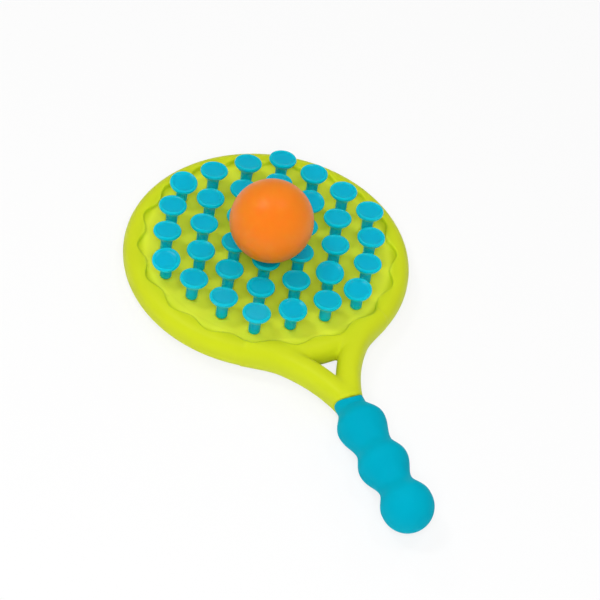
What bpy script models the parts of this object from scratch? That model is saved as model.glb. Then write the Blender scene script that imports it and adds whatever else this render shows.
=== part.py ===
"""Suction paddle ball set: a moulded paddle, its grip, its soft pins and the ball that lies on them.

Metres, +Z up. The paddle lies on its back with the handle along -Y. The origin is the bottom
centre of the whole set's box, so the end of the grip touches z = 0.
"""

import math

import bmesh
import bpy
from mathutils import Matrix, Vector

# Ball
BALL_RADIUS = 0.03175
BALL_PLACE_SHARE = 0.69         # from the centre pin (0) towards the next pin of its column (1)

# Suction pins: places on the plate
PIN_PITCH = 0.0285
PIN_RINGS = 3
PIN_RING_ROUNDING = (0.0, 0.0, 0.19, 0.39)     # for each ring: 0 keeps its hexagon, 1 makes a circle
PIN_OUTER_SHARE = 0.984         # reach of the outer ring as a share of the even pattern's

# Paddle head: a round rim, open at the back, with a thin plate set in near its front
RECESS_CLEARANCE = 0.0013       # from the outermost pin's button to the wall of the back recess
RIM_INSIDE = 0.0074             # from that wall to the rim's centre line
RIM_TUBE = 0.0112               # radius of the rim's round section
RIM_BACK_LAND = 0.0005          # how much the rim's underside is flattened
PLATE_TOP = 0.0072              # height of the plate's front above the rim's middle plane
PLATE_THICKNESS = 0.0030
PLATE_ALLOWANCE = 0.0010        # extra height of the plate's blank, cut away again inside the wave

# Wavy step from the rim down to the plate
WAVE_SETBACK = 0.0018           # from the rim's centre line in to the wave's middle
WAVE_HEIGHT = 0.0026
WAVE_LOBES = 18

# Throat: two arms bent to touch both the rim's centre line and the handle's axis
ARM_BEND_RADIUS = 0.1113
ARM_HALF_WIDTH = (0.0086, 0.0094, 0.0072)      # at the rim, halfway, and at the end inside the grip
ARM_HALF_DEPTH = 0.0112

# Tang: the core of the handle, moulded with the frame and sunk in the grip
TANG_RADIUS = 0.0070
TANG_END_COVER = 0.0160         # soft material left beyond the tang's end

# Grip: a straight collar, two bulges with a waist behind each, and a ball end
GRIP_START = 0.1544             # from the head's centre
GRIP_NOSE_RADIUS = 0.0160       # rounding of the grip's front edge, seen from the side
GRIP_SPANS = (0.0056, 0.0185, 0.0218, 0.0167, 0.0212, 0.0183, 0.0020)     # from one station to the next
GRIP_COLLAR_RADIUS = 0.0114
GRIP_BULGE_RADIUS = (0.0187, 0.0191)
GRIP_WAIST_RADIUS = (0.0142, 0.0132)
GRIP_BALL_RADIUS = 0.0195

# Suction pins: section, with heights above the plate
PIN_STEM_RADIUS = 0.0044
PIN_STEM_HEIGHT = 0.0130
PIN_HEAD_RADIUS = 0.0108
PIN_HEAD_HEIGHT = 0.0209
PIN_LIP_DROP = 0.0011           # from the head's top to its widest place
PIN_LIP_WIDTH = 0.0031          # flat-topped lip round the cup
PIN_CUP_DEPTH = 0.0026
PIN_TAIL_RADIUS = 0.0030
PIN_BUTTON_RADIUS = 0.0062
PIN_BUTTON_HEIGHT = 0.0022

# Gaps left where two pieces touch
SEAT_GAP = 0.0003
MERGE = 0.00001

# Fineness
RIM_SEGMENTS = 64
TUBE_SEGMENTS = 14
ARM_POINTS = 13
ARM_SEGMENTS = 12
GRIP_SEGMENTS = 20
GRIP_SPAN_STEPS = 4
GRIP_TIP_STEPS = 8
NOSE_SEGMENTS = 64
PIN_SEGMENTS = 12
HOLE_SEGMENTS = 8
BALL_SEGMENTS = 24
BALL_RINGS = 14
WAVE_POINTS_PER_LOBE = 6

# Colours as linear values
GREEN = (0.575, 0.650, 0.020)
BLUE = (0.004, 0.430, 0.590)
ORANGE = (0.930, 0.250, 0.025)

# Places that follow from the sizes
PIN_REACH = PIN_RINGS * PIN_PITCH * PIN_OUTER_SHARE
RECESS_RADIUS = PIN_REACH + PIN_BUTTON_RADIUS + RECESS_CLEARANCE
RIM_RADIUS = RECESS_RADIUS + RIM_INSIDE
WAVE_RADIUS = RIM_RADIUS - WAVE_SETBACK
PADDLE_FRONT = RIM_RADIUS + RIM_TUBE
GRIP_END = GRIP_START + sum(GRIP_SPANS) + GRIP_BALL_RADIUS
HEAD_Y = (GRIP_END - PADDLE_FRONT) / 2
MIDDLE_Z = max(GRIP_BALL_RADIUS, *GRIP_BULGE_RADIUS, RIM_TUBE)
PLATE_Z = MIDDLE_Z + PLATE_TOP
HEAD_CENTRE = Vector((0.0, HEAD_Y, MIDDLE_Z))
TANG_END = GRIP_END - TANG_END_COVER


def clear_scene():
    for obj in list(bpy.data.objects):
        bpy.data.objects.remove(obj, do_unlink=True)


def new_collection(name):
    collection = bpy.data.collections.new(name)
    bpy.context.scene.collection.children.link(collection)
    return collection


def material(name, colour, roughness):
    mat = bpy.data.materials.new(name)
    mat.use_nodes = True
    shader = mat.node_tree.nodes["Principled BSDF"]
    shader.inputs["Base Color"].default_value = (*colour, 1.0)
    shader.inputs["Roughness"].default_value = roughness
    shader.inputs["Metallic"].default_value = 0.0
    return mat


def place(obj, name, collection):
    """Name a new object and move it from where Blender put it into one collection."""
    obj.name = name
    obj.data.name = name
    for old in list(obj.users_collection):
        old.objects.unlink(obj)
    collection.objects.link(obj)
    return obj


def smooth(obj, angle=math.radians(35)):
    obj.data.shade_smooth()
    obj.data.set_sharp_from_angle(angle=angle)


def as_cutter(obj):
    obj.hide_render = True
    obj.display_type = "WIRE"
    return obj


def cylinder(name, radius, low, high, segments, collection, axis="Z"):
    """A cylinder from low to high along one axis; low and high are the centres of its ends."""
    low, high = Vector(low), Vector(high)
    turn = {"X": (0, math.pi / 2, 0), "Y": (math.pi / 2, 0, 0), "Z": (0, 0, 0)}[axis]
    bpy.ops.mesh.primitive_cylinder_add(
        vertices=segments, radius=radius, depth=(high - low).length,
        location=(low + high) / 2, rotation=turn)
    return place(bpy.context.object, name, collection)


def boolean(target, tool, operation):
    modifier = target.modifiers.new(f"{operation} {tool.name}", "BOOLEAN")
    modifier.object = tool
    modifier.operation = operation
    modifier.solver = "EXACT"


def turned(name, profile, segments, collection):
    """Turn a profile of (radius, height) points, listed top to bottom, about Z."""
    mesh = bpy.data.meshes.new(name)
    bm = bmesh.new()
    points = [bm.verts.new((radius, 0.0, height)) for radius, height in profile]
    for first, second in zip(points, points[1:]):
        bm.edges.new((first, second))
    bm.to_mesh(mesh)
    bm.free()
    obj = bpy.data.objects.new(name, mesh)
    collection.objects.link(obj)
    screw = obj.modifiers.new("Turn", "SCREW")
    screw.axis = "Z"
    screw.steps = segments
    screw.render_steps = segments
    screw.use_merge_vertices = True
    screw.merge_threshold = MERGE
    return obj


def arm_centre():
    """Centre of the arc that touches the rim's centre line and the handle's axis."""
    reach = RIM_RADIUS + ARM_BEND_RADIUS
    return Vector((ARM_BEND_RADIUS, HEAD_Y - math.sqrt(reach**2 - ARM_BEND_RADIUS**2), MIDDLE_Z))


def arm_point(share, side, outward, up):
    """A point beside an arm's centre line: share 0 lies on the rim, 1 on the handle's axis."""
    centre = arm_centre()
    start = math.asin((HEAD_Y - centre.y) / (RIM_RADIUS + ARM_BEND_RADIUS))
    angle = start * (1 - share)
    radius = ARM_BEND_RADIUS - outward
    x = centre.x - radius * math.cos(angle)
    y = centre.y + radius * math.sin(angle)
    return Vector((side * x, y, MIDDLE_Z + up))


def arm_half_width(share):
    """Half the arm's width, as the one parabola through its three given values."""
    at_rim, halfway, at_end = ARM_HALF_WIDTH
    return (at_rim * (1 - share) * (1 - 2 * share) + halfway * 4 * share * (1 - share)
            + at_end * share * (2 * share - 1))


def arm(side, collection):
    """One throat arm: upright ovals along its arc, joined into a closed mesh."""
    name = "arm_left" if side < 0 else "arm_right"
    mesh = bpy.data.meshes.new(name)
    bm = bmesh.new()
    rings = []
    for index in range(ARM_POINTS):
        share = index / (ARM_POINTS - 1)
        ring = []
        for step in range(ARM_SEGMENTS):
            angle = 2 * math.pi * step / ARM_SEGMENTS
            outward = arm_half_width(share) * math.cos(angle)
            ring.append(bm.verts.new(arm_point(share, side, outward, ARM_HALF_DEPTH * math.sin(angle))))
        rings.append(ring)
    for first, second in zip(rings, rings[1:]):
        for here in range(ARM_SEGMENTS):
            after = (here + 1) % ARM_SEGMENTS
            bm.faces.new((first[here], first[after], second[after], second[here]))
    bm.faces.new(rings[0])
    bm.faces.new(rings[-1])
    bmesh.ops.recalc_face_normals(bm, faces=bm.faces)
    bm.to_mesh(mesh)
    bm.free()
    obj = bpy.data.objects.new(name, mesh)
    collection.objects.link(obj)
    return as_cutter(obj)


def wave_cutter(collection):
    """A tall prism with the wavy outline, standing on the plate's front."""
    steps = WAVE_LOBES * WAVE_POINTS_PER_LOBE
    mesh = bpy.data.meshes.new("wave_cutter")
    bm = bmesh.new()
    outline = []
    for step in range(steps):
        angle = 2 * math.pi * step / steps
        radius = WAVE_RADIUS + WAVE_HEIGHT * math.cos(WAVE_LOBES * angle)
        outline.append(bm.verts.new((radius * math.cos(angle), radius * math.sin(angle), 0.0)))
    floor = bm.faces.new(outline)
    lifted = bmesh.ops.extrude_face_region(bm, geom=[floor])["geom"]
    top = [item for item in lifted if isinstance(item, bmesh.types.BMVert)]
    bmesh.ops.translate(bm, verts=top, vec=(0.0, 0.0, 2 * RIM_TUBE))
    bmesh.ops.recalc_face_normals(bm, faces=bm.faces)
    bm.to_mesh(mesh)
    bm.free()
    obj = bpy.data.objects.new("wave_cutter", mesh)
    obj.location = (0.0, HEAD_Y, PLATE_Z)
    collection.objects.link(obj)
    return as_cutter(obj)


def ring_of(column, row):
    return max(abs(column), abs(row), abs(column + row))


def pin_places():
    """Pin centres on the plate, from the centre outwards: hexagons that get rounder ring by ring."""
    places = []
    along = Vector((math.cos(math.radians(-120)), math.sin(math.radians(-120))))
    across = Vector((math.cos(math.radians(-60)), math.sin(math.radians(-60))))
    rings = range(-PIN_RINGS, PIN_RINGS + 1)
    for column in rings:
        for row in rings:
            ring = ring_of(column, row)
            if ring > PIN_RINGS:
                continue
            spot = (along * column + across * row) * PIN_PITCH
            if ring > 0:
                angle = round_angle(spot, ring)
                on_circle = Vector((math.cos(angle), math.sin(angle))) * ring * PIN_PITCH
                spot = spot.lerp(on_circle, PIN_RING_ROUNDING[ring])
            if ring == PIN_RINGS:
                spot = spot * PIN_OUTER_SHARE
            places.append((ring, math.atan2(spot.y, spot.x), spot))
    places.sort(key=lambda item: (item[0], round(item[1], 4)))
    return [spot for _, _, spot in places]


def round_angle(spot, ring):
    """The angle that a pin of a hexagon's ring has when the ring is spread evenly on a circle."""
    step = math.radians(60) / ring
    return round(math.atan2(spot.y, spot.x) / step) * step


def hole_cutter(collection):
    """All the pins' holes through the plate, as one set of separate cylinders."""
    mesh = bpy.data.meshes.new("pin_hole_cutter")
    bm = bmesh.new()
    for spot in pin_places():
        bmesh.ops.create_cone(
            bm, cap_ends=True, segments=HOLE_SEGMENTS,
            radius1=hole_radius(), radius2=hole_radius(), depth=3 * PLATE_THICKNESS,
            matrix=Matrix.Translation((spot.x, spot.y, 0.0)))
    bm.to_mesh(mesh)
    bm.free()
    obj = bpy.data.objects.new("pin_hole_cutter", mesh)
    obj.location = (0.0, HEAD_Y, PLATE_Z - PLATE_THICKNESS / 2)
    collection.objects.link(obj)
    return as_cutter(obj)


def hole_radius():
    """The hole's corner radius, so that its flats clear the pin's tail."""
    return (PIN_TAIL_RADIUS + SEAT_GAP) / math.cos(math.pi / HOLE_SEGMENTS)


def nose(radius, half_width, name, collection):
    """A lying cylinder whose front gives the curved seam between neck and grip."""
    y = HEAD_Y - GRIP_START - GRIP_NOSE_RADIUS
    tool = cylinder(name, radius, (-half_width, y, MIDDLE_Z), (half_width, y, MIDDLE_Z),
                    NOSE_SEGMENTS, collection, axis="X")
    return as_cutter(tool)


def box(name, low, high, collection):
    low, high = Vector(low), Vector(high)
    bpy.ops.mesh.primitive_cube_add(size=1.0, location=(low + high) / 2)
    obj = place(bpy.context.object, name, collection)
    size = high - low
    for vertex in obj.data.vertices:
        vertex.co = Vector(a * b for a, b in zip(vertex.co, size))
    return as_cutter(obj)


def paddle_frame(parts, tools):
    """The one-piece moulding: rim, plate, throat arms and the tang inside the grip."""
    bpy.ops.mesh.primitive_torus_add(
        major_radius=RIM_RADIUS, minor_radius=RIM_TUBE, major_segments=RIM_SEGMENTS,
        minor_segments=TUBE_SEGMENTS, location=HEAD_CENTRE)
    frame = place(bpy.context.object, "paddle_frame", parts)
    plate = as_cutter(cylinder(
        "plate", RIM_RADIUS, (0, HEAD_Y, PLATE_Z - PLATE_THICKNESS),
        (0, HEAD_Y, PLATE_Z + PLATE_ALLOWANCE), RIM_SEGMENTS, tools))
    boolean(frame, plate, "UNION")
    for side in (-1, 1):
        boolean(frame, arm(side, tools), "UNION")
    boolean(frame, wave_cutter(tools), "DIFFERENCE")
    width = 2 * max(GRIP_COLLAR_RADIUS, *ARM_HALF_WIDTH, ARM_HALF_DEPTH)
    boolean(frame, nose(GRIP_NOSE_RADIUS + SEAT_GAP, width, "neck_nose", tools), "DIFFERENCE")
    past_nose = box("neck_end_cutter", (-width, arm_centre().y - ARM_HALF_DEPTH, MIDDLE_Z - width),
                    (width, HEAD_Y - GRIP_START - GRIP_NOSE_RADIUS, MIDDLE_Z + width), tools)
    boolean(frame, past_nose, "DIFFERENCE")
    tang_start = HEAD_Y - GRIP_START + ARM_HALF_WIDTH[-1]
    tang = as_cutter(cylinder(
        "tang", TANG_RADIUS, (0, HEAD_Y - TANG_END, MIDDLE_Z), (0, tang_start, MIDDLE_Z),
        PIN_SEGMENTS, tools, axis="Y"))
    boolean(frame, tang, "UNION")
    reach = PADDLE_FRONT + RIM_TUBE
    low_z = MIDDLE_Z - RIM_TUBE
    under = box("rim_land_cutter", (-reach, HEAD_Y - reach, low_z - RIM_TUBE),
                (reach, HEAD_Y + reach, low_z + RIM_BACK_LAND), tools)
    boolean(frame, under, "DIFFERENCE")
    recess = as_cutter(cylinder(
        "back_recess_cutter", RECESS_RADIUS, (0, HEAD_Y, low_z - RIM_TUBE),
        (0, HEAD_Y, PLATE_Z - PLATE_THICKNESS), RIM_SEGMENTS, tools))
    boolean(frame, recess, "DIFFERENCE")
    boolean(frame, hole_cutter(tools), "DIFFERENCE")
    return frame


def grip_stations():
    """Distances from the head's centre where the grip is thickest or thinnest, with its radius there."""
    first_bulge, second_bulge = GRIP_BULGE_RADIUS
    first_waist, second_waist = GRIP_WAIST_RADIUS
    radii = (GRIP_COLLAR_RADIUS, GRIP_COLLAR_RADIUS, first_bulge, first_waist, second_bulge, second_waist,
             GRIP_BALL_RADIUS, GRIP_BALL_RADIUS)
    return [(GRIP_START + sum(GRIP_SPANS[:index]), radius) for index, radius in enumerate(radii)]


def grip_profile():
    """Closed outline of the grip, from its mouth over the bulges to the tip, and back up the bore."""
    bore = TANG_RADIUS + SEAT_GAP
    bore_end = TANG_END + SEAT_GAP
    stations = grip_stations()
    outer = [(bore, -GRIP_START), (GRIP_COLLAR_RADIUS, -GRIP_START)]
    for (start, first), (end, second) in zip(stations, stations[1:]):
        steps = 1 if first == second else GRIP_SPAN_STEPS
        for step in range(1, steps + 1):
            share = step / steps
            eased = (1 - math.cos(math.pi * share)) / 2
            outer.append((first + (second - first) * eased, -(start + (end - start) * share)))
    ball_at = stations[-1][0]
    for step in range(1, GRIP_TIP_STEPS):
        angle = math.pi / 2 * step / GRIP_TIP_STEPS
        along = ball_at + GRIP_BALL_RADIUS * math.sin(angle)
        outer.append((GRIP_BALL_RADIUS * math.cos(angle), -along))
    outer.append((0.0, -GRIP_END))
    return outer + [(0.0, -bore_end), (bore, -bore_end), (bore, -GRIP_START)]


def grip(parts, tools):
    """The soft sleeve on the tang, with its curved front edge."""
    obj = turned("grip", grip_profile(), GRIP_SEGMENTS, parts)
    obj.location = HEAD_CENTRE
    obj.rotation_euler = (-math.pi / 2, 0.0, 0.0)
    width = 2 * GRIP_COLLAR_RADIUS
    middle = HEAD_Y - GRIP_START
    front = box("grip_front_cutter", (-width, middle - GRIP_NOSE_RADIUS, MIDDLE_Z - width),
                (width, middle + width, MIDDLE_Z + width), tools)
    boolean(front, nose(GRIP_NOSE_RADIUS, 2 * width, "grip_nose", tools), "DIFFERENCE")
    boolean(obj, front, "DIFFERENCE")
    return obj


def pin_profile():
    """The pin's outline from the bottom of its cup, over the lip and down to the button."""
    lip = PIN_HEAD_RADIUS - PIN_LIP_DROP
    under = -PLATE_THICKNESS - SEAT_GAP
    return [
        (0.0, PIN_HEAD_HEIGHT - PIN_CUP_DEPTH),
        (PIN_HEAD_RADIUS - PIN_LIP_WIDTH, PIN_HEAD_HEIGHT - PIN_LIP_DROP),
        (lip, PIN_HEAD_HEIGHT),
        (PIN_HEAD_RADIUS, PIN_HEAD_HEIGHT - PIN_LIP_DROP),
        ((PIN_HEAD_RADIUS + PIN_STEM_RADIUS) / 2, (PIN_HEAD_HEIGHT + PIN_STEM_HEIGHT) / 2),
        (PIN_STEM_RADIUS, PIN_STEM_HEIGHT),
        (PIN_STEM_RADIUS, SEAT_GAP),
        (PIN_TAIL_RADIUS, SEAT_GAP),
        (PIN_TAIL_RADIUS, under),
        (PIN_BUTTON_RADIUS, under),
        (PIN_BUTTON_RADIUS, under - PIN_BUTTON_HEIGHT),
        (0.0, under - PIN_BUTTON_HEIGHT),
    ]


def suction_pins(parts):
    """Every pin is one soft moulding pushed through its hole and held by the button behind."""
    pins = []
    for number, spot in enumerate(pin_places(), start=1):
        pin = turned(f"suction_pin_{number:02d}", pin_profile(), PIN_SEGMENTS, parts)
        pin.location = (spot.x, HEAD_Y + spot.y, PLATE_Z)
        pins.append(pin)
    return pins


def ball(parts):
    """The ball, resting on the lip of the pin next to the centre pin."""
    heading = math.radians(-120)
    away = BALL_PLACE_SHARE * PIN_PITCH
    x, y = away * math.cos(heading), HEAD_Y + away * math.sin(heading)
    z = PLATE_Z + PIN_HEAD_HEIGHT + SEAT_GAP + BALL_RADIUS
    bpy.ops.mesh.primitive_uv_sphere_add(
        segments=BALL_SEGMENTS, ring_count=BALL_RINGS, radius=BALL_RADIUS, location=(x, y, z))
    return place(bpy.context.object, "ball", parts)


def build():
    clear_scene()
    parts = new_collection("suction_paddle_ball_set")
    tools = new_collection("cutters")
    green = material("green plastic", GREEN, 0.38)
    blue = material("blue silicone", BLUE, 0.42)
    orange = material("orange plastic", ORANGE, 0.40)
    painted = [(paddle_frame(parts, tools), green), (grip(parts, tools), blue), (ball(parts), orange)]
    painted += [(pin, blue) for pin in suction_pins(parts)]
    for obj, mat in painted:
        obj.data.materials.clear()
        obj.data.materials.append(mat)
        smooth(obj)


build()
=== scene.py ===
"""Looks of the suction paddle ball set: fine surfaces, materials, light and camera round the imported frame.

Metres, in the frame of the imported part: +Z up out of the pins, the handle along -Y.
"""

import math
import random

import bmesh
import bpy
import numpy as np
from mathutils import Matrix, Vector


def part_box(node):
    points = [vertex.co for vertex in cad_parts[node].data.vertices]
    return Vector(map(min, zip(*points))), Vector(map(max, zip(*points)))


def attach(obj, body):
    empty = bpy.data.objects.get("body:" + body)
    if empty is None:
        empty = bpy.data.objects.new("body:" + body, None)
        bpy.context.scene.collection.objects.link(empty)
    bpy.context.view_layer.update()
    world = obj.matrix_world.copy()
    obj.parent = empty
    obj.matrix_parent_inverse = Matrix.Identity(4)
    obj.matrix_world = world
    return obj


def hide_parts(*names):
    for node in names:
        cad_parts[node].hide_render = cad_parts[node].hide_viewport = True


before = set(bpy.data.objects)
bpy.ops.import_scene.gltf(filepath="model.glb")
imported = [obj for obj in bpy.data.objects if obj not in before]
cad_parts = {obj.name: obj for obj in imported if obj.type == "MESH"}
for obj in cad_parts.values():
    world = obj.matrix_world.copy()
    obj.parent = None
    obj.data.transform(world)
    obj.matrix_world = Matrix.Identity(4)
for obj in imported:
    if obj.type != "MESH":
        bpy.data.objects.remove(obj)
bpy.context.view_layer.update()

# Camera, from points of the photograph matched to the pins, the rim and the grip
IMAGE_WIDTH = 600
FOCAL_PIXELS = 2932
SENSOR = 36.0
CAMERA_FROM_HEAD = Vector((-0.77506, -1.38225, 1.59368))     # from the plate's front at the head's centre
CAMERA_RIGHT = Vector((0.91059, -0.39729, 0.11396))
CAMERA_DOWN = Vector((-0.21746, -0.69499, -0.68535))

# Sizes of the moulding that its box doesn't give
RIM_TUBE = 0.0112
RIM_BACK_LAND = 0.0005
PLATE_TOP = 0.0072
PLATE_THICKNESS = 0.0030
WAVE_SETBACK = 0.0018
WAVE_HEIGHT = 0.0026
WAVE_LOBES = 18
RIM_INSIDE = 0.0074
ARM_BEND_RADIUS = 0.1113
ARM_HALF_WIDTH = (0.0086, 0.0094, 0.0072)      # at the rim, halfway, and at the end inside the grip
ARM_HALF_DEPTH = 0.0112
TANG_RADIUS = 0.0070
TANG_END_GAP = 0.0165          # from the tang's end to the grip's end

# Sizes of the grip, along the handle from the head's centre
GRIP_START = 0.1544
GRIP_NOSE_RADIUS = 0.0160
GRIP_SPANS = (0.0056, 0.0185, 0.0218, 0.0167, 0.0212, 0.0183, 0.0020)
GRIP_COLLAR_RADIUS = 0.0114
GRIP_BULGE_RADIUS = (0.0187, 0.0191)
GRIP_WAIST_RADIUS = (0.0142, 0.0132)
GRIP_BALL_RADIUS = 0.0195
GRIP_FRONT_GAP = 0.0002
GRIP_BORE_GAP = 0.0003
GRIP_EDGE_INSETS = (0.0006, 0.0002)            # the rounded front edge, in from the collar's radius
GRIP_EDGE_DEPTH = 0.0003
GRIP_ROOT_DEPTH = 0.001                        # the middle of the closed front end, inside the tang
GRIP_SEAM_FADE = 0.012                         # from the curved front edge to where the rings are flat
GRIP_SEAM_REACH = 0.0125
GRIP_SEGMENTS = 96
GRIP_RINGS = 150
GRIP_TIP_RINGS = 24

# The pin's outline as radius and height above the plate, from its cup's floor down to the stem
PIN_HEAD_RADIUS = 0.0108
PIN_HEAD_HEIGHT = 0.0209
PIN_STEM_RADIUS = 0.0044
PIN_CUP = ((0.0, 0.0200), (0.0030, 0.0200), (0.0050, 0.02001), (0.0062, 0.02003), (0.0070, 0.02010),
           (0.0076, 0.02021), (0.0081, 0.02036), (0.0085, 0.02053), (0.00885, 0.02072), (0.0091, 0.02083))
PIN_LIP = ((0.0094, PIN_HEAD_HEIGHT), (0.0097, 0.02086), (0.0101, 0.02068), (0.0104, 0.02040),
           (0.0106, 0.02005), (0.01075, 0.0196), (PIN_HEAD_RADIUS, 0.0192), (0.01075, 0.0187),
           (0.0105, 0.0181))
PIN_TAPER = ((0.0101, 0.0174), (0.0095, 0.0166), (0.0089, 0.0159), (0.0081, 0.0150), (0.0073, 0.0141),
             (0.0065, 0.0131), (0.0058, 0.0121), (0.0053, 0.0111), (0.0049, 0.0100), (0.0046, 0.0087))
PIN_STEM_HEIGHTS = (0.0070, 0.0020, 0.0006)
PIN_FOOT_GAP = 0.0003                          # from the plate to the stem's foot and to the button
PIN_FOOT_ROUND = 0.0001
PIN_TAIL_RADIUS = 0.0030
PIN_BUTTON_RADIUS = 0.0062
PIN_BUTTON_BACK = 0.0054                       # from the plate's front to the button's back
PIN_BUTTON_FRONT_RADIUS = 0.0058
PIN_BUTTON_EDGE = (0.0006, 0.0010)
PIN_SEGMENTS = 40

# Pins that lean in the photograph, with how far the head lies off the foot
LEANING_PINS = {11: (-0.0011, -0.0021), 14: (0.0006, -0.0022), 23: (-0.0005, -0.0014),
                25: (-0.0016, -0.0010), 34: (-0.0003, -0.0019), 37: (-0.0022, -0.0022)}

# The other pins' heads tip by this slope, and the back row's by more
BACK_ROW_PINS = (31, 32, 33)
HEAD_TIP = (0.025, 0.044, 0.0)
BACK_ROW_TIP = 2.5
HEAD_TIP_START = 0.0100        # the tip grows from this height on
HEAD_TIP_RISE = 0.0080
SMALL_LEAN = 0.0005            # the most that any other pin leans

# Blends of the moulding's surface
SECTION_POWER = 2.25           # 2 makes round sections, more makes their top and sides flatter
ARM_FILLET = 0.0045
VALLEY_FILLET = 0.0045
EDGE_FILLET = 0.0006

# How finely the moulding is remeshed, and how its points settle on that surface
VOXEL = 0.0009
KEPT_SHARE = 0.55              # share of the faces that is kept
SLOPE_STEP = 0.00002
LEAST_SLOPE_SQUARE = 0.05
SETTLE_PASSES = 3
SETTLE_ROUNDS = 2
LAST_SETTLE_ROUNDS = 3
RELAX_SHARE = 0.5

# The ball's fineness, and its parting line with the turns in degrees
BALL_SUBDIVISIONS = 6
SEAM_TURN_X = 64
SEAM_TURN_Y = 20
SEAM_DEPTH_SHARE = 0.0016
SEAM_WIDTH = 0.00045

# Lamps and world
LAMP_TARGET = (0.0, 0.03, 0.02)
LAMP_DISTANCE = 2.1
WORLD_LIGHT = 0.24

# Each lamp's name, turn from the camera's side, rise, width, power, and whether reflections show it
LAMPS = (
    ("key", 0, 48, 1.1, 27, False),
    ("left_back", -140, 38, 0.6, 3, False),
    ("right_back", 140, 38, 0.6, 3, False),
    ("left", -91, 63, 0.36, 7, True),
    ("left_spark", -112, 73, 0.14, 1.6, True),
    ("right_spark", 112, 73, 0.14, 3.0, True),
)

# Floor
FLOOR_COLOUR = (0.94, 0.94, 0.94, 1)
FLOOR_ROUGHNESS = 0.9
FLOOR_CAMERA_WHITE = 0.8       # share of plain white that the camera sees in place of the lit floor
FLOOR_HALF_SIZE = 6.0

# Grain and drift that every moulded surface has
COLOUR_DRIFT = 0.02
COLOUR_DRIFT_SCALE = 18.0
GRAIN_DEPTH = 0.0002

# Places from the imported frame
frame_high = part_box("paddle_frame")[1]
grip_low, grip_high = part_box("grip")
HEAD_RADIUS = frame_high.x
RIM_RADIUS = HEAD_RADIUS - RIM_TUBE
HEAD = Vector((0.0, frame_high.y - HEAD_RADIUS, (grip_low.z + grip_high.z) / 2))
PLATE_Z = HEAD.z + PLATE_TOP
GRIP_END = HEAD.y - grip_low.y
GRIP_BALL_AT = GRIP_END - GRIP_BALL_RADIUS
GRIP_STATIONS = list(zip(
    [GRIP_START + sum(GRIP_SPANS[:count]) for count in range(len(GRIP_SPANS) + 1)],
    (GRIP_COLLAR_RADIUS, GRIP_COLLAR_RADIUS, GRIP_BULGE_RADIUS[0], GRIP_WAIST_RADIUS[0],
     GRIP_BULGE_RADIUS[1], GRIP_WAIST_RADIUS[1], GRIP_BALL_RADIUS, GRIP_BALL_RADIUS)))
PIN_NODES = sorted(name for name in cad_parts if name.startswith("suction_pin_"))


def pin_place(node):
    low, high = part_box(node)
    return Vector(((low.x + high.x) / 2, (low.y + high.y) / 2, PLATE_Z))


def new_object(name, mesh):
    obj = bpy.data.objects.new(name, mesh)
    bpy.context.scene.collection.objects.link(obj)
    return obj


def mesh_from(name, points, faces):
    mesh = bpy.data.meshes.new(name)
    mesh.from_pydata([tuple(p) for p in points], [], faces)
    mesh.validate()
    mesh.update()
    mesh.shade_smooth()
    return mesh


def applied(obj):
    """The object with its modifiers applied to its own mesh."""
    graph = bpy.context.evaluated_depsgraph_get()
    mesh = bpy.data.meshes.new_from_object(obj.evaluated_get(graph))
    obj.modifiers.clear()
    obj.data = mesh
    return obj


# The moulding's surface as a signed distance


def smooth_min(a, b, blend):
    h = np.maximum(blend - np.abs(a - b), 0) / blend
    return np.minimum(a, b) - h * h * blend / 4


def smooth_max(a, b, blend):
    return -smooth_min(-a, -b, blend)


def oval_distance(across, up, half_width, half_depth):
    """Distance to a bar whose section is an oval with a slightly flattened top and sides."""
    u, v = np.abs(across / half_width), np.abs(up / half_depth)
    level = (u ** SECTION_POWER + v ** SECTION_POWER) ** (1 / SECTION_POWER) + 1e-9
    slope_u = (u / level) ** (SECTION_POWER - 1) / half_width
    slope_v = (v / level) ** (SECTION_POWER - 1) / half_depth
    return (level - 1) / (np.hypot(slope_u, slope_v) + 1e-9)


def arm_distance(x, y, z):
    """Distance to one throat arm, an upright oval swept along an arc, for points with x made positive."""
    centre_y = -math.sqrt((RIM_RADIUS + ARM_BEND_RADIUS) ** 2 - ARM_BEND_RADIUS ** 2)
    start = math.asin(-centre_y / (RIM_RADIUS + ARM_BEND_RADIUS))
    dx, dy = x - ARM_BEND_RADIUS, y - centre_y
    off = np.hypot(dx, dy) - ARM_BEND_RADIUS
    angle = np.arctan2(dy, -dx)
    along = np.maximum(angle - start, -angle) * ARM_BEND_RADIUS
    share = np.clip(1 - angle / start, 0, 1)
    at_rim, halfway, at_end = ARM_HALF_WIDTH
    half = (at_rim * (1 - share) * (1 - 2 * share) + halfway * 4 * share * (1 - share)
            + at_end * share * (2 * share - 1))
    return np.maximum(oval_distance(off, z, half, ARM_HALF_DEPTH), along)


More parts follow.
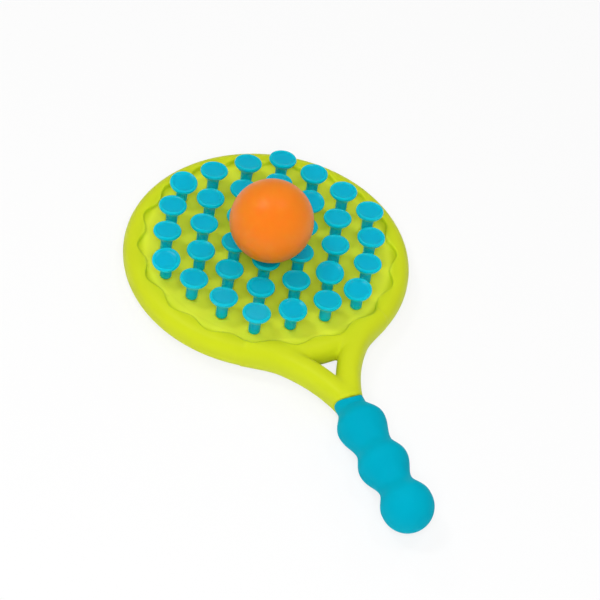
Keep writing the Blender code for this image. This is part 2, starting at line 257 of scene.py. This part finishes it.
def moulding_distance(points):
    """Signed distance to the paddle moulding, for points measured from the head's centre."""
    x, y, z = points[:, 0], points[:, 1], points[:, 2]
    radius = np.hypot(x, y)
    rim = oval_distance(radius - RIM_RADIUS, z, RIM_TUBE, RIM_TUBE)
    from_middle = np.abs(z - PLATE_TOP + PLATE_THICKNESS / 2)
    plate = np.maximum(from_middle - PLATE_THICKNESS / 2, radius - RIM_RADIUS)
    arms = smooth_min(arm_distance(x, y, z), arm_distance(-x, y, z), VALLEY_FILLET)
    body = smooth_min(rim, arms, ARM_FILLET)
    wave = RIM_RADIUS - WAVE_SETBACK + WAVE_HEIGHT * np.cos(WAVE_LOBES * np.arctan2(y, x))
    well = np.maximum(radius - wave, PLATE_TOP - z)
    body = smooth_max(body, -well, EDGE_FILLET)
    recess = np.maximum(radius - (RIM_RADIUS - RIM_INSIDE), z - PLATE_TOP + PLATE_THICKNESS)
    body = smooth_max(body, -recess, EDGE_FILLET)
    body = smooth_min(body, plate, EDGE_FILLET)
    land = -RIM_TUBE + RIM_BACK_LAND - z
    body = smooth_max(body, land, EDGE_FILLET)
    nose_y = -GRIP_START - GRIP_NOSE_RADIUS
    nose = np.minimum(np.hypot(y - nose_y, z) - GRIP_NOSE_RADIUS, y - nose_y)
    body = np.maximum(body, -nose)
    tang = np.maximum(np.hypot(x, z) - TANG_RADIUS, y + GRIP_START - ARM_HALF_WIDTH[-1])
    return np.minimum(body, np.maximum(tang, -GRIP_END + TANG_END_GAP - y))


def moulding_gradient(points):
    slopes = []
    for axis in range(3):
        shift = np.zeros(3)
        shift[axis] = SLOPE_STEP
        rise = moulding_distance(points + shift) - moulding_distance(points - shift)
        slopes.append(rise / (2 * SLOPE_STEP))
    return np.stack(slopes, axis=1)


def settle(points, rounds):
    """Move points onto the moulding's surface, a little at a time."""
    for _ in range(rounds):
        distance = moulding_distance(points)
        slope = moulding_gradient(points)
        square = np.maximum((slope ** 2).sum(axis=1), LEAST_SLOPE_SQUARE)
        move = slope * (distance / square)[:, None]
        length = np.linalg.norm(move, axis=1)
        limit = np.minimum(1, VOXEL / np.maximum(length, 1e-9))
        points = points - move * limit[:, None]
    return points


def relax(points, edges, share):
    """Pull each point a share of the way to the middle of its neighbours."""
    total = np.zeros_like(points)
    count = np.zeros(len(points))
    for here, there in ((0, 1), (1, 0)):
        np.add.at(total, edges[:, here], points[edges[:, there]])
        np.add.at(count, edges[:, here], 1)
    return points + share * (total / np.maximum(count, 1)[:, None] - points)


def fine_moulding():
    """The paddle moulding, remeshed finely from its solid and settled on the filleted surface."""
    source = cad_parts["paddle_frame"]
    obj = new_object("paddle_moulding", source.data.copy())
    remesh = obj.modifiers.new("Fine", "REMESH")
    remesh.mode = "VOXEL"
    remesh.voxel_size = VOXEL
    obj = applied(obj)
    mesh = obj.data
    points = np.zeros(len(mesh.vertices) * 3)
    mesh.vertices.foreach_get("co", points)
    points = points.reshape(-1, 3) - np.array(HEAD)
    edges = np.zeros(len(mesh.edges) * 2, dtype=int)
    mesh.edges.foreach_get("vertices", edges)
    edges = edges.reshape(-1, 2)
    for _ in range(SETTLE_PASSES):
        points = settle(points, SETTLE_ROUNDS)
        points = relax(points, edges, RELAX_SHARE)
    points = settle(points, LAST_SETTLE_ROUNDS) + np.array(HEAD)
    mesh.vertices.foreach_set("co", points.astype(np.float32).ravel())
    mesh.update()
    thin = obj.modifiers.new("Fewer", "DECIMATE")
    thin.ratio = KEPT_SHARE
    obj = applied(obj)
    obj.data.shade_smooth()
    return obj


# Turned pieces


def turned_mesh(name, profile, segments):
    """A closed turned surface from (radius, height) points; both ends lie on the axis."""
    points = [(0.0, 0.0, profile[0][1])]
    for radius, height in profile[1:-1]:
        for step in range(segments):
            angle = 2 * math.pi * step / segments
            points.append((radius * math.cos(angle), radius * math.sin(angle), height))
    points.append((0.0, 0.0, profile[-1][1]))
    last = len(points) - 1
    rings = len(profile) - 2
    faces = []
    for step in range(segments):
        after = (step + 1) % segments
        faces.append((0, 1 + step, 1 + after))
        for ring in range(rings - 1):
            a, b = 1 + ring * segments, 1 + (ring + 1) * segments
            faces.append((a + step, b + step, b + after, a + after))
        base = 1 + (rings - 1) * segments
        faces.append((last, base + after, base + step))
    return mesh_from(name, points, faces)


def arc_points(centre, radii, start, end, steps):
    """Points of an oval arc in the profile's plane, angles in degrees."""
    found = []
    for step in range(steps + 1):
        angle = math.radians(start + (end - start) * step / steps)
        found.append((centre[0] + radii[0] * math.cos(angle), centre[1] + radii[1] * math.sin(angle)))
    return found


def pin_profile():
    """The pin from the floor of its shallow cup over the thick round lip, down to the button behind."""
    behind = -PLATE_THICKNESS - PIN_FOOT_GAP
    edge_width, edge_depth = PIN_BUTTON_EDGE
    edge_centre = (PIN_BUTTON_RADIUS - edge_width, edge_depth - PIN_BUTTON_BACK)
    profile = [*PIN_CUP, *PIN_LIP, *PIN_TAPER]
    profile += [(PIN_STEM_RADIUS, height) for height in PIN_STEM_HEIGHTS]
    profile += [(PIN_STEM_RADIUS - PIN_FOOT_ROUND, PIN_FOOT_GAP), (PIN_TAIL_RADIUS, PIN_FOOT_GAP)]
    profile += [(PIN_TAIL_RADIUS, behind), (PIN_BUTTON_FRONT_RADIUS, behind)]
    profile += arc_points(edge_centre, PIN_BUTTON_EDGE, 60, -90, 5)
    profile += [(0.0, -PIN_BUTTON_BACK)]
    return profile


def lean_of(number):
    """How far a pin's head lies off its foot: a few pins lean, the others stand nearly straight."""
    if number in LEANING_PINS:
        return Vector((*LEANING_PINS[number], 0.0))
    rng = random.Random(number)
    heading, reach = rng.uniform(0, 2 * math.pi), rng.uniform(0.0, SMALL_LEAN)
    return Vector((reach * math.cos(heading), reach * math.sin(heading), 0.0))


def fine_pin(number, node):
    """A pin bent like a rod that is fixed at its foot: its head moves by the lean and tips over with it."""
    mesh = turned_mesh(f"pin_{number:02d}", pin_profile(), PIN_SEGMENTS)
    obj = new_object(f"pin_{number:02d}", mesh)
    lean = lean_of(number)
    tip = Vector(HEAD_TIP) * (BACK_ROW_TIP if number in BACK_ROW_PINS else 1.0)
    for vertex in mesh.vertices:
        share = max(vertex.co.z, 0.0) / PIN_HEAD_HEIGHT
        slope = lean * (6 * share - 3 * share ** 2) / (2 * PIN_HEAD_HEIGHT)
        if number not in LEANING_PINS:
            slope += tip * min(max((vertex.co.z - HEAD_TIP_START) / HEAD_TIP_RISE, 0.0), 1.0)
        turn = Vector((0, 0, 1)).rotation_difference(Vector((slope.x, slope.y, 1)))
        middle = Vector((0, 0, vertex.co.z)) + lean * (3 * share ** 2 - share ** 3) / 2
        vertex.co = middle + turn @ Vector((vertex.co.x, vertex.co.y, 0))
    obj.location = pin_place(node)
    return obj


def grip_radius(distance):
    """Radius of the grip at a distance from the head's centre, eased from one station to the next."""
    for (start, first), (end, second) in zip(GRIP_STATIONS, GRIP_STATIONS[1:]):
        if distance <= end:
            share = (distance - start) / (end - start)
            return first + (second - first) * (1 - math.cos(math.pi * share)) / 2
    return GRIP_BALL_RADIUS


def fine_grip():
    """The soft sleeve: a fine turned skin whose front edge follows the curved seam."""
    rings = []
    front = GRIP_START + GRIP_FRONT_GAP
    skin_start = front + GRIP_EDGE_DEPTH
    rings.append((TANG_RADIUS + GRIP_BORE_GAP, front, 1.0))
    for inset in GRIP_EDGE_INSETS:
        rings.append((GRIP_COLLAR_RADIUS - inset, front, 1.0))
    for step in range(GRIP_RINGS):
        distance = skin_start + (GRIP_BALL_AT - skin_start) * step / GRIP_RINGS
        fade = max(0.0, 1 - (distance - front) / GRIP_SEAM_FADE)
        rings.append((grip_radius(distance), distance, fade))
    for step in range(GRIP_TIP_RINGS):
        angle = math.pi / 2 * step / GRIP_TIP_RINGS
        distance = GRIP_BALL_AT + GRIP_BALL_RADIUS * math.sin(angle)
        rings.append((GRIP_BALL_RADIUS * math.cos(angle), distance, 0))
    points = []
    for radius, distance, fade in rings:
        for step in range(GRIP_SEGMENTS):
            angle = 2 * math.pi * step / GRIP_SEGMENTS
            x, z = radius * math.cos(angle), radius * math.sin(angle)
            reach = min(abs(z), GRIP_SEAM_REACH)
            back = GRIP_NOSE_RADIUS - math.sqrt(GRIP_NOSE_RADIUS ** 2 - reach ** 2)
            points.append((x, HEAD.y - distance - back * fade, HEAD.z + z))
    tip = len(points)
    points.append((0.0, HEAD.y - GRIP_END, HEAD.z))
    root = len(points)
    points.append((0.0, HEAD.y - front - GRIP_ROOT_DEPTH, HEAD.z))
    faces = []
    for step in range(GRIP_SEGMENTS):
        after = (step + 1) % GRIP_SEGMENTS
        for ring in range(len(rings) - 1):
            a, b = ring * GRIP_SEGMENTS, (ring + 1) * GRIP_SEGMENTS
            faces.append((a + step, a + after, b + after, b + step))
        last = (len(rings) - 1) * GRIP_SEGMENTS
        faces.append((last + step, last + after, tip))
        faces.append((after, step, root))
    mesh = mesh_from("grip_sleeve", points, faces)
    return new_object("grip_sleeve", mesh)


def fine_ball():
    """The ball, with evenly spread faces and the faint parting line of its two halves."""
    low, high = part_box("ball")
    centre = (low + high) / 2
    radius = (high.z - low.z) / 2
    bm = bmesh.new()
    bmesh.ops.create_icosphere(bm, subdivisions=BALL_SUBDIVISIONS, radius=radius)
    turn_x = Matrix.Rotation(math.radians(SEAM_TURN_X), 3, "X")
    tilt = turn_x @ Matrix.Rotation(math.radians(SEAM_TURN_Y), 3, "Y")
    for vertex in bm.verts:
        height = (tilt @ vertex.co).z
        vertex.co *= 1 - SEAM_DEPTH_SHARE * math.exp(-(height / SEAM_WIDTH) ** 2)
    mesh = bpy.data.meshes.new("play_ball")
    bm.to_mesh(mesh)
    bm.free()
    mesh.shade_smooth()
    obj = new_object("play_ball", mesh)
    obj.location = centre
    return obj


# Materials


def node_material(name):
    mat = bpy.data.materials.new(name)
    mat.use_nodes = True
    nodes, links = mat.node_tree.nodes, mat.node_tree.links
    return mat, nodes, links, nodes["Principled BSDF"]


def varied_colour(nodes, links, colour):
    """A colour that drifts a little over the surface, in object space."""
    place = nodes.new("ShaderNodeTexCoord")
    noise = nodes.new("ShaderNodeTexNoise")
    noise.inputs["Scale"].default_value = COLOUR_DRIFT_SCALE
    noise.inputs["Detail"].default_value = 4.0
    ramp = nodes.new("ShaderNodeValToRGB")
    ramp.color_ramp.elements[0].position = 0.35
    ramp.color_ramp.elements[1].position = 0.65
    ramp.color_ramp.elements[0].color = (*[c * (1 - COLOUR_DRIFT) for c in colour], 1)
    ramp.color_ramp.elements[1].color = (*[min(1, c * (1 + COLOUR_DRIFT)) for c in colour], 1)
    links.new(place.outputs["Object"], noise.inputs["Vector"])
    links.new(noise.outputs["Fac"], ramp.inputs["Fac"])
    return place, ramp


def fine_bump(nodes, links, place, shader, scale, strength):
    grain = nodes.new("ShaderNodeTexNoise")
    grain.inputs["Scale"].default_value = scale
    grain.inputs["Detail"].default_value = 3.0
    bump = nodes.new("ShaderNodeBump")
    bump.inputs["Strength"].default_value = strength
    bump.inputs["Distance"].default_value = GRAIN_DEPTH
    links.new(place.outputs["Object"], grain.inputs["Vector"])
    links.new(grain.outputs["Fac"], bump.inputs["Height"])
    links.new(bump.outputs["Normal"], shader.inputs["Normal"])
    return grain


def roughness_drift(nodes, links, source, shader, low, high):
    span = nodes.new("ShaderNodeMapRange")
    span.inputs["From Min"].default_value = 0.3
    span.inputs["From Max"].default_value = 0.7
    span.inputs["To Min"].default_value = low
    span.inputs["To Max"].default_value = high
    links.new(source.outputs["Fac"], span.inputs["Value"])
    links.new(span.outputs["Result"], shader.inputs["Roughness"])


def plastic(name, colour, rough, sheen, grain_scale, grain, glow, depth=(0.006, 0.006, 0.006)):
    """A moulded plastic: drifting colour, fine grain, and light that spreads under the surface."""
    mat, nodes, links, shader = node_material(name)
    place, ramp = varied_colour(nodes, links, colour)
    links.new(ramp.outputs["Color"], shader.inputs["Base Color"])
    texture = fine_bump(nodes, links, place, shader, grain_scale, grain)
    roughness_drift(nodes, links, texture, shader, rough[0], rough[1])
    shader.inputs["Specular IOR Level"].default_value = sheen
    shader.inputs["Subsurface Weight"].default_value = glow
    shader.inputs["Subsurface Radius"].default_value = depth
    shader.inputs["Subsurface Scale"].default_value = 1.0
    return mat


def blend_near(mat, socket, value, centre, axes, near, far):
    """Blend a socket towards a value close to a point, in object space and along the given axes only."""
    nodes, links = mat.node_tree.nodes, mat.node_tree.links
    shader = nodes["Principled BSDF"]
    under = shader.inputs[socket].links[0].from_socket
    place = nodes.new("ShaderNodeTexCoord")
    offset = nodes.new("ShaderNodeVectorMath")
    offset.operation = "SUBTRACT"
    offset.inputs[1].default_value = centre
    flat = nodes.new("ShaderNodeVectorMath")
    flat.operation = "MULTIPLY"
    flat.inputs[1].default_value = axes
    length = nodes.new("ShaderNodeVectorMath")
    length.operation = "LENGTH"
    span = nodes.new("ShaderNodeMapRange")
    span.interpolation_type = "SMOOTHSTEP"
    span.inputs["From Min"].default_value = near
    span.inputs["From Max"].default_value = far
    span.inputs["To Min"].default_value = 1.0
    span.inputs["To Max"].default_value = 0.0
    mix = nodes.new("ShaderNodeMix")
    mix.data_type = "RGBA"
    mix.inputs["B"].default_value = (*value, 1)
    links.new(place.outputs["Object"], offset.inputs[0])
    links.new(offset.outputs["Vector"], flat.inputs[0])
    links.new(flat.outputs["Vector"], length.inputs[0])
    links.new(length.outputs["Value"], span.inputs["Value"])
    links.new(span.outputs["Result"], mix.inputs["Factor"])
    links.new(under, mix.inputs["A"])
    links.new(mix.outputs["Result"], shader.inputs[socket])


def green_plastic():
    """The moulding's green, with painted light on the plate inside the rim: lighter and a little bluer
    there, to offset the shade of the pins above it.
    """
    mat = plastic("green_moulded_plastic", colour=(0.634, 0.715, 0.0145), rough=(0.40, 0.48), sheen=0.15,
                  grain_scale=900.0, grain=0.08, glow=0.7)
    # painted light: the plate inside the rim is lightened and made bluer, standing in for light the pins'
    # shade takes away
    blend_near(mat, "Base Color", value=(0.82, 0.90, 0.046), centre=HEAD, axes=(1, 1, 0),
               near=RIM_RADIUS - 0.006, far=RIM_RADIUS - 0.001)
    return mat


def pin_silicone():
    """The pins' soft blue, duller on the stem than on the head, with painted light on the stem: bluer there
    to lift it out of the heads' shade and the plate's green bounce.
    """
    mat = plastic("blue_silicone", colour=(0.000, 0.475, 0.665), rough=(0.17, 0.23), sheen=0.20,
                  grain_scale=1100.0, grain=0.05, glow=1.0, depth=(0.010, 0.010, 0.010))
    # painted light: the stems below the heads are bluer, lifting them out of the heads' shade and the
    # plate's green bounce
    blend_near(mat, "Base Color", value=(0.00, 0.470, 1.00), centre=(0, 0, 0), axes=(0, 0, 1),
               near=0.0130, far=0.0180)
    blend_near(mat, "Roughness", value=(0.60, 0.60, 0.60), centre=(0, 0, 0), axes=(0, 0, 1),
               near=0.0165, far=0.0190)
    return mat


def grip_silicone():
    """The grip's blue, duller than the pins."""
    return plastic("blue_grip_silicone", colour=(0.000, 0.405, 0.550), rough=(0.55, 0.65), sheen=0.03,
                   grain_scale=1100.0, grain=0.12, glow=0.6)


def ball_plastic():
    """The ball's orange, with painted shade: redder towards its underside, standing in for the warmer
    shading of its lower side.
    """
    mat = plastic("orange_ball_plastic", colour=(0.880, 0.245, 0.0110), rough=(0.36, 0.42), sheen=0.25,
                  grain_scale=1000.0, grain=0.10, glow=1.0, depth=(0.018, 0.005, 0.002))
    # painted shade: redder towards the underside, standing in for the warmer shading of the ball's lower
    # side
    blend_near(mat, "Base Color", value=(1.000, 0.205, 0.006), centre=(0, 0, -0.0300), axes=(0, 0, 1),
               near=0.0060, far=0.0420)
    return mat


def floor_material():
    """A pale floor, lightened for the camera alone, that still takes the set's soft shadow."""
    mat, nodes, links, shader = node_material("floor_white")
    shader.inputs["Base Color"].default_value = FLOOR_COLOUR
    shader.inputs["Roughness"].default_value = FLOOR_ROUGHNESS
    glow = nodes.new("ShaderNodeEmission")
    glow.inputs["Strength"].default_value = 1.0
    path = nodes.new("ShaderNodeLightPath")
    share = nodes.new("ShaderNodeMath")
    share.operation = "MULTIPLY"
    share.inputs[1].default_value = FLOOR_CAMERA_WHITE
    mix = nodes.new("ShaderNodeMixShader")
    output = nodes["Material Output"]
    links.new(path.outputs["Is Camera Ray"], share.inputs[0])
    links.new(share.outputs["Value"], mix.inputs["Fac"])
    links.new(shader.outputs["BSDF"], mix.inputs[1])
    links.new(glow.outputs["Emission"], mix.inputs[2])
    links.new(mix.outputs["Shader"], output.inputs["Surface"])
    return mat


def add_floor():
    """The floor tilts a little, because the set rests on the grip's first bulge and the rim's far side."""
    bulge_at = GRIP_START + GRIP_SPANS[0] + GRIP_SPANS[1]
    land_half = math.sqrt(RIM_TUBE ** 2 - (RIM_TUBE - RIM_BACK_LAND) ** 2)
    heel = Vector((0.0, HEAD.y - bulge_at, HEAD.z - GRIP_BULGE_RADIUS[0]))
    toe = Vector((0.0, HEAD.y + RIM_RADIUS + land_half, HEAD.z - RIM_TUBE + RIM_BACK_LAND))
    slope = math.atan2(toe.z - heel.z, toe.y - heel.y)
    size = FLOOR_HALF_SIZE
    corners = [(-size, -size, 0), (size, -size, 0), (size, size, 0), (-size, size, 0)]
    mesh = mesh_from("floor", corners, [(0, 1, 2, 3)])
    floor = new_object("floor", mesh)
    floor.location = heel
    floor.rotation_euler = (slope, 0, 0)
    floor.data.materials.append(floor_material())


def add_camera():
    data = bpy.data.cameras.new("camera")
    data.sensor_width = SENSOR
    data.lens = SENSOR * FOCAL_PIXELS / IMAGE_WIDTH
    data.clip_end = 50
    camera = bpy.data.objects.new("camera", data)
    bpy.context.scene.collection.objects.link(camera)
    forward = CAMERA_RIGHT.cross(CAMERA_DOWN)
    turn = Matrix((CAMERA_RIGHT, -CAMERA_DOWN, -forward)).transposed()
    spot = Vector((HEAD.x, HEAD.y, PLATE_Z)) + CAMERA_FROM_HEAD
    camera.matrix_world = Matrix.Translation(spot) @ turn.to_4x4()
    bpy.context.scene.camera = camera


def add_lamp(name, turn, rise, size, power, reflected):
    """A round lamp aimed at the set, placed by its turn from the camera's side and its rise, in degrees."""
    azimuth = math.atan2(CAMERA_FROM_HEAD.y, CAMERA_FROM_HEAD.x) + math.radians(turn)
    height = math.radians(rise)
    flat = math.cos(height)
    way = Vector((math.cos(azimuth) * flat, math.sin(azimuth) * flat, math.sin(height)))
    data = bpy.data.lights.new(name, "AREA")
    data.shape = "DISK"
    data.size = size
    data.energy = power
    lamp = bpy.data.objects.new(name, data)
    bpy.context.scene.collection.objects.link(lamp)
    lamp.location = Vector(LAMP_TARGET) + way * LAMP_DISTANCE
    lamp.rotation_euler = (-way).to_track_quat("-Z", "Y").to_euler()
    lamp.visible_glossy = reflected


def add_light():
    for lamp in LAMPS:
        add_lamp(*lamp)
    world = bpy.data.worlds.new("world")
    bpy.context.scene.world = world
    world.use_nodes = True
    background = world.node_tree.nodes["Background"]
    background.inputs["Color"].default_value = (1, 1, 1, 1)
    background.inputs["Strength"].default_value = WORLD_LIGHT


def dress(piece, node, mat):
    piece.data.materials.clear()
    piece.data.materials.append(mat)
    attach(piece, "root")
    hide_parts(node)


dress(fine_moulding(), "paddle_frame", green_plastic())
dress(fine_grip(), "grip", grip_silicone())
dress(fine_ball(), "ball", ball_plastic())
pin_blue = pin_silicone()
for number, node in enumerate(PIN_NODES, start=1):
    dress(fine_pin(number, node), node, pin_blue)
add_floor()
add_camera()
add_light()
bpy.context.scene.view_settings.view_transform = "Standard"
